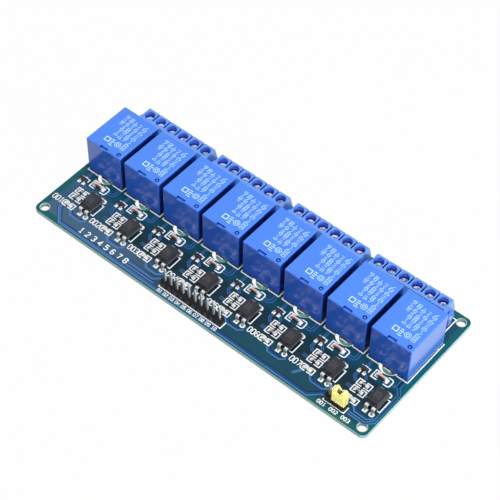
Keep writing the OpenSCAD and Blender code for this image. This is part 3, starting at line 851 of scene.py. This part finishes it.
def copper_along_front(work):
    """The runs that gather along the front edge."""
    lit_copper(work, [(-62.65, -20.9), (-62.65, -22.4), (-58.3, -27.1), (10.6, -27.1)], 1.25)
    # Painted shadow: a dark line beside the front-left run.
    work.run([(-63.45, -20.9), (-63.45, -22.75), (-59.0, -27.5)], 0.25, COPPER, SHADOW)
    lit_copper(work, [(-29.6, -24.55), (-19.1, -24.55), (-17.2, -22.75)], 1.1)
    lit_copper(work, [(-29.6, -25.8), (-17.6, -25.8)], 0.7)
    lit_copper(work, [(10.8, -27.1), (46.3, -27.1), (49.8, -23.75), (51.0, -23.75)], 1.25)
    copper_path(work, [(39.7, -20.9), (39.2, -21.9), (37.9, -23.9)], 0.8)


def terminal_ways():
    """Each way's middle along X, at the board."""
    return [pair_ends(pair)[0] + WAY_PITCH * (way + 0.5) for pair in range(PAIRS) for way in range(2 * WAYS)]


def copper_underneath(work):
    """Wide runs from every relay contact to its wire terminal, and the coil runs to the front."""
    def path(points, width):
        copper_path(work, points, width, (COPPER_BELOW, CORE_BELOW), 0.42)

    bus_y, front_y = -9.5, -22.8
    ways = terminal_ways()
    for index, x in enumerate(CHANNEL_X):
        mine = ways[index * WAYS:][:WAYS]
        for pin_x, way_x in ((x - RELAY_PIN_DX, mine[0]), (x + RELAY_PIN_DX, mine[2])):
            bends = [(pin_x, THROW_Y + 2.4), (way_x, TERMINAL_PIN_Y - 2.0)]
            path([(pin_x, THROW_Y), *bends, (way_x, TERMINAL_PIN_Y)], 2.2)
        path([(x, COMMON_Y), (x, THROW_Y), (mine[1], TERMINAL_PIN_Y - 3.4), (mine[1], TERMINAL_PIN_Y)], 2.6)
        path([(x + RELAY_PIN_DX, COIL_Y), (x + 7.4, COIL_Y - 1.4), (x + 7.4, bus_y)], 0.9)
        path([(x - RELAY_PIN_DX, COIL_Y), (x - 7.2, COIL_Y - 1.2), (x - 7.2, -21.0), (x - 5.6, front_y)], 0.7)
        path([(x + OPTO_X, -12.5), (x + OPTO_X, -19.2)], 0.6)
    first, last = CHANNEL_X[0], CHANNEL_X[-1]
    path([(first + 7.4, bus_y), (last + 7.4, bus_y)], 1.4)
    path([(first - 5.6, front_y), (last - 5.6, front_y)], 1.0)


def opto_pins(x):
    """Each optocoupler lead of the channel at x: its place, and whether it is the square one."""
    return [(x + OPTO_X + across * PIN_PITCH / 2, OPTO.y + side * OPTO_ROW, side < 0 and across < 0)
            for side in (-1, 1) for across in (-1, 1)]


def lands_of_channel(work, index):
    """Bare tinned lands and the solder on them."""
    x = CHANNEL_X[index]

    def land(px, py, half_x, half_y):
        work.bar(px - half_x, px + half_x, py - half_y, py + half_y, LAND)

    body = x + TRANSISTOR_X
    for dx, side in ((-0.95, -1), (0.95, -1), (0, 1)):
        y = TRANSISTOR.y + side * 1.15
        work.bar(body + dx - 0.55, body + dx + 0.55, y - 0.65, y + 0.5, LAND)
        work.fillet(body + dx, TRANSISTOR.y + side * 1.12, side * math.pi / 2, 0.62, 0.24, 0.45)
    for side, turn in ((-1, math.pi), (1, 0)):
        diode = x + DIODE_X
        land(diode + side * 1.85, DIODE.y, 0.65, 0.85)
        work.fillet(diode + side * 1.75, DIODE.y, turn, 1.15, 0.75, 0.6)
        chip = x + CHIP_X
        for y in (*RESISTOR_Y, LAMP_Y):
            land(chip + side * 1.2, y, 0.52, 0.54)
            work.fillet(chip + side * 1.0, y, turn, 1.15, 0.36, 0.7)
    for px, py, square in opto_pins(x):
        outer, sides, start = (0.98, 4, 45) if square else (0.95, 32, 0)
        work.ring(px, py, outer, 0.42, LAND, sides, start)


def lands_of_pins(work):
    """Rings round the drilled holes of the relays, headers and terminals, on both faces."""
    rings = [(x, TERMINAL_PIN_Y, 1.5, 0.82) for x in terminal_ways()]
    for x in CHANNEL_X:
        rings.append((x, COMMON_Y, 1.5, 0.78))
        for pin_x in (x - RELAY_PIN_DX, x + RELAY_PIN_DX):
            rings += [(pin_x, COIL_Y, 1.2, 0.58), (pin_x, THROW_Y, 1.6, 0.78)]
        for px, py, _ in opto_pins(x):
            work.ring(px, py, 0.95, 0.46, LAND_BELOW)
    for node, count in HEADERS.items():
        low, high = box_mm(node)
        rings += [(low.x + PIN_PITCH * (pin + 0.5), (low.y + high.y) / 2, 0.95, 0.52) for pin in range(count)]
    for ring in rings:
        for heights in (LAND, LAND_BELOW):
            work.ring(*ring, heights)


def hole_rings():
    """Bare laminate rings round the corner holes."""
    work = FlatWork("bare_laminate")
    pattern = next(m for m in frame["record"]["mounts"] if m["name"] == "corner_holes")["dims"]
    inner = pattern["hole_r_mm"] + 0.02
    outer = inner + 0.2
    for sx in (-0.5, 0.5):
        for sy in (-0.5, 0.5):
            x, y = sx * pattern["spacing_x_mm"], sy * pattern["spacing_y_mm"]
            for heights in (COPPER, COPPER_BELOW):
                work.ring(x, y, outer, inner, heights, sides=48)
    work.done("hole_rings")


# -------------------- marks on the relays and small parts

def row_of_marks(work, rng, x, start, end, size, step, heights):
    """A row of bars, pairs of bars and small boxes, evenly spaced along Y and about size wide."""
    stroke, gap, filled = 0.145, 0.1, 0.62
    left, right = x - size / 2, x + size / 2
    for n in range(int((end - start) / step)):
        y0 = start + n * step
        y1 = y0 + step * filled
        middle = (y0 + y1) / 2
        kind = rng.choice(("box", "box", "pair", "bar", "split", "split", "dash"))
        if kind == "box":
            lines = [[(left, y0), (right, y0), (right, y1), (left, y1)]]
        elif kind == "pair":
            lines = [[(left, y0), (right, y0)], [(left, y1), (right, y1)]]
        elif kind == "bar":
            lines = [[(left, middle), (right, middle)]]
        elif kind == "split":
            lines = [[(left, y0), (x - gap, y0)], [(x + gap, y1), (right, y1)], [(x, y0), (x, y1)]]
        else:
            lines = [[(x, y0), (x, y1)]]
        width = stroke * 1.3 if kind == "dash" else stroke
        for points in lines:
            work.run(points, width, heights, closed=kind == "box")


# How far each relay's print lies to the right of the relay's middle
PRINT_SHIFT = (-0.2, 0.0, 0.2, 0.4, 0.55, 0.55, 0.45, 0.05)

# Each row of marks: middle from the print's middle, start and end from the front face, mark size, spacing
ROWS_OF_MARKS = ((-3.0, 12.0, 17.1, 1.1, 0.98), (-1.0, 7.2, 17.2, 1.1, 0.96), (0.95, 6.9, 17.2, 1.1, 0.96),
                 (2.9, 7.0, 17.2, 1.1, 0.96), (5.15, 3.5, 17.2, 1.4, 1.12))


def relay_marks(index):
    """Rows of plain marks on a relay's top: bars and boxes, a square, dashes and a ring."""
    x, front = CHANNEL_X[index] + PRINT_SHIFT[index], RELAYS[index][0].y
    bold = 0.3
    work = FlatWork("relay_ink")
    heights = (RELAY_TOP - SINK, RELAY_TOP + 0.02)
    rng = random.Random(7)
    for across, start, end, size, step in ROWS_OF_MARKS:
        row_of_marks(work, rng, x + across, front + start, front + end, size, step, heights)
    left, right, low, high = x - 2.5, x - 0.8, front + 3.5, front + 5.2
    work.run([(left, low), (right, low), (right, high), (left, high)], bold, heights, closed=True)
    for n in range(4):
        y = front + 2.9 + n * 0.8
        work.run([(x - 0.2, y), (x + 1.3 - n % 2 * 0.4, y)], bold, heights)
    for outer, inner, sides in ((1.15, 0.98, 20), (0.62, 0.42, 12)):
        work.ring(x + 2.75, front + 4.5, outer, inner, heights, sides)
    work.done(f"relay_marks_{index + 1}")


def optocoupler_marks():
    """Faint plain bars on each optocoupler."""
    high = box_mm("optocoupler_1")[1]
    work = FlatWork("faint_print")
    for x in CHANNEL_X:
        for n, (a, b) in enumerate(((-1.3, 1.5), (-0.9, 1.5), (-1.3, 0.8))):
            middle = x + OPTO_X - 0.9 + n * 0.85
            work.bar(middle - 0.22, middle + 0.22, OPTO.y + a, OPTO.y + b, (high.z - SINK, high.z + 0.015))
    work.done("optocoupler_marks")


def resistor_marks():
    """Three short plain bars on each chip resistor."""
    work = FlatWork("board_ink")
    z = CHIPS[1].z
    for x in CHANNEL_X:
        for y in RESISTOR_Y:
            for n in (-1, 0, 1):
                middle = x + CHIP_X + n * 0.34
                work.bar(middle - 0.06, middle + 0.06, y - 0.3, y + 0.3, (z - SINK, z + 0.012))
    work.done("resistor_marks")


# -------------------- operators

def numbered(stem):
    """The eight nodes of one kind."""
    return [f"{stem}_{n + 1}" for n in range(CHANNELS)]


# Which nodes get which finish
DRESS = {
    "solder_mask": ["circuit_board"],
    "relay_skin": numbered("relay"),
    "terminal_skin": numbered("terminal_block"),
    "zinc_screw": ["terminal_screws"],
    "resin_black": numbered("optocoupler") + ["transistor_bodies", "resistor_bodies"],
    "strip_black": ["input_header_strip", "power_header_strip"],
    "cap_yellow": ["jumper_cap"],
    "diode_glass": ["diode_glasses"],
    "lamp_resin": ["led_bodies"],
    "tin_plate": ["relay_pins", "terminal_cages", "terminal_contacts", "optocoupler_leads", "transistor_leads",
                  "diode_caps", "resistor_terminals", "led_terminals"],
    "pin_plate": ["input_header_pins", "power_header_pins"],
    "spring_steel": ["jumper_clip"],
    "solder_alloy": ["solder_joints"],
}


class RELAYBOARD_OT_finishes(bpy.types.Operator):
    """Give every part of the frame its finish"""
    bl_idname = "relay_board.finishes"
    bl_label = "Finishes"

    def execute(self, context):
        for finish, nodes in DRESS.items():
            for name in nodes:
                materials = frame["nodes"][name].data.materials
                materials.clear()
                materials.append(finish_for(finish))
        return {"FINISHED"}


class RELAYBOARD_OT_copper(bpy.types.Operator):
    """Lay the masked copper runs on both faces of the board"""
    bl_idname = "relay_board.copper"
    bl_label = "Copper runs"

    def execute(self, context):
        work = FlatWork(*COPPER_FINISHES)
        for index in range(CHANNELS):
            copper_of_channel(work, index)
        copper_along_front(work)
        work.done("copper_runs")
        below = FlatWork(*COPPER_FINISHES[:SHADOW])
        copper_underneath(below)
        below.done("copper_runs_underneath")
        hole_rings()
        return {"FINISHED"}


class RELAYBOARD_OT_lands(bpy.types.Operator):
    """Lay the tinned lands and the solder on them"""
    bl_idname = "relay_board.lands"
    bl_label = "Lands and solder"

    def execute(self, context):
        work = FlatWork("solder_alloy")
        for index in range(CHANNELS):
            lands_of_channel(work, index)
        work.done("soldered_lands")
        rings = FlatWork("solder_alloy")
        lands_of_pins(rings)
        rings.done("pin_lands")
        return {"FINISHED"}


class RELAYBOARD_OT_printing(bpy.types.Operator):
    """Print the board's outlines and plain numbers"""
    bl_idname = "relay_board.printing"
    bl_label = "Board printing"

    def execute(self, context):
        line = context.scene.relay_board.line / MM
        work = FlatWork("board_ink")
        for index in range(CHANNELS):
            print_channel(work, index, line)
        print_headers(work, line)
        print_terminals(work, line)
        work.done("board_printing")
        return {"FINISHED"}


class RELAYBOARD_OT_marks(bpy.types.Operator):
    """Print plain marks on the relays, optocouplers and resistors"""
    bl_idname = "relay_board.marks"
    bl_label = "Marks on parts"

    def execute(self, context):
        for index in range(CHANNELS):
            relay_marks(index)
        optocoupler_marks()
        resistor_marks()
        return {"FINISHED"}


class RELAYBOARD_OT_stage(bpy.types.Operator):
    """Set the floor, the light and the camera"""
    bl_idname = "relay_board.stage"
    bl_label = "Stage"

    def execute(self, context):
        scene = context.scene
        settings = scene.relay_stage
        make_floor(settings)
        make_world(scene, settings)
        make_lamp("key_lamp", (0.3, -0.1, 1.1), 0.7, settings.key)
        make_lamp("side_lamp", (1.2, 0.05, 0.4), 0.6, settings.side)
        lamp = make_lamp("cap_lamp", (0.3, -0.9, 0.5), 0.4, settings.cap, (0.05, -0.02, 0))
        lit = bpy.data.collections.new("lit_by_cap_lamp")
        lit.objects.link(frame["nodes"]["jumper_cap"])
        lamp.light_linking.receiver_collection = lit
        make_camera(scene)
        scene.view_settings.view_transform = "Standard"
        return {"FINISHED"}


# -------------------- floor, light and camera

WHITE = (1, 1, 1)
FLOOR_REACH = 6.0
CAMERA_PLACE = Vector((0.20566, -0.25164, 0.40994))
CAMERA_TURN = Euler((0.6803, -0.01333, 0.69956), "XYZ")
CAMERA_LENS = 116.1


def make_floor(settings):
    """A wide pale floor that is white by itself and still takes the object's shadow."""
    data = bpy.data.meshes.new("floor")
    corners = [(x * FLOOR_REACH, y * FLOOR_REACH, CAD_LOW.z) for x, y in ((-1, -1), (1, -1), (1, 1), (-1, 1))]
    data.from_pydata(corners, [], [(0, 1, 2, 3)])
    floor = bpy.data.objects.new("floor", data)
    bpy.context.scene.collection.objects.link(floor)
    tint = (*[settings.floor_tint] * 3, 1)
    s = Shader("floor_white", {"Base Color": tint, "Roughness": 0.9, "Specular IOR Level": 0.0})
    glow = s.node("ShaderNodeEmission", {}, {"Color": WHITE, "Strength": 1.0})
    white_share = s.directly_seen() * settings.floor
    s.surface(s.node("ShaderNodeMixShader", {}, {0: white_share, 1: s.own(), 2: glow}))
    data.materials.append(s.material)


def make_world(scene, settings):
    """Even light; a mirror sees a white surround that falls off towards a dimmer ceiling."""
    scene.world = bpy.data.worlds.new("even_light")
    w = Nodes(scene.world, "ShaderNodeOutputWorld")
    height = w.axes(w.node("ShaderNodeTexCoord", {}, {}, "Generated"))[2]
    mirrored = 1 - w.step(height, 0.05, 0.75) * (1 - settings.ceiling)
    camera = w.node("ShaderNodeLightPath", {}, {}, "Is Camera Ray")
    seen = camera + (1 - camera) * mirrored
    direct = w.directly_seen()
    strength = direct * seen + (1 - direct) * settings.world
    w.surface(w.node("ShaderNodeBackground", {}, {"Color": WHITE, "Strength": strength}))


def make_lamp(name, place, size, power, target=(0, 0, 0)):
    """A round lamp that looks at the target and shows in no mirror."""
    data = bpy.data.lights.new(name, "AREA")
    data.shape = "DISK"
    data.size = size
    data.energy = power
    lamp = bpy.data.objects.new(name, data)
    bpy.context.scene.collection.objects.link(lamp)
    lamp.location = place
    lamp.visible_glossy = False
    lamp.rotation_euler = (Vector(target) - Vector(place)).to_track_quat("-Z", "Y").to_euler()
    return lamp


def make_camera(scene):
    """A long lens from the front right, well above the board."""
    data = bpy.data.cameras.new("camera")
    data.lens = CAMERA_LENS
    data.sensor_width = 36
    data.clip_start, data.clip_end = 0.01, 20
    camera = bpy.data.objects.new("camera", data)
    scene.collection.objects.link(camera)
    camera.location = CAMERA_PLACE
    camera.rotation_euler = CAMERA_TURN
    scene.camera = camera


class RELAYBOARD_PT_panel(bpy.types.Panel):
    """Sizes, colours and the steps that build the finish"""
    bl_label = "Relay board"
    bl_idname = "RELAYBOARD_PT_panel"
    bl_space_type = "VIEW_3D"
    bl_region_type = "UI"
    bl_category = "Relay board"

    def draw(self, context):
        for name, kind in GROUPS.items():
            box = self.layout.box()
            box.label(text=kind.__doc__)
            for setting in kind.__annotations__:
                box.prop(getattr(context.scene, name), setting)
        for step in STEPS:
            self.layout.operator(step.bl_idname)


GROUPS = {"relay_board": BoardSettings, "relay_plastic": PlasticSettings, "relay_stage": StageSettings}
STEPS = (RELAYBOARD_OT_finishes, RELAYBOARD_OT_copper, RELAYBOARD_OT_lands, RELAYBOARD_OT_printing,
         RELAYBOARD_OT_marks, RELAYBOARD_OT_stage)


def register():
    for kind in (*GROUPS.values(), *STEPS, RELAYBOARD_PT_panel):
        bpy.utils.register_class(kind)
    for name, kind in GROUPS.items():
        setattr(bpy.types.Scene, name, PointerProperty(type=kind))


def unregister():
    for name in GROUPS:
        delattr(bpy.types.Scene, name)
    for kind in (RELAYBOARD_PT_panel, *reversed(STEPS), *GROUPS.values()):
        bpy.utils.unregister_class(kind)


def main():
    register()
    for step in STEPS:
        group, name = step.bl_idname.split(".")
        getattr(getattr(bpy.ops, group), name)()


if __name__ == "__main__":
    main()
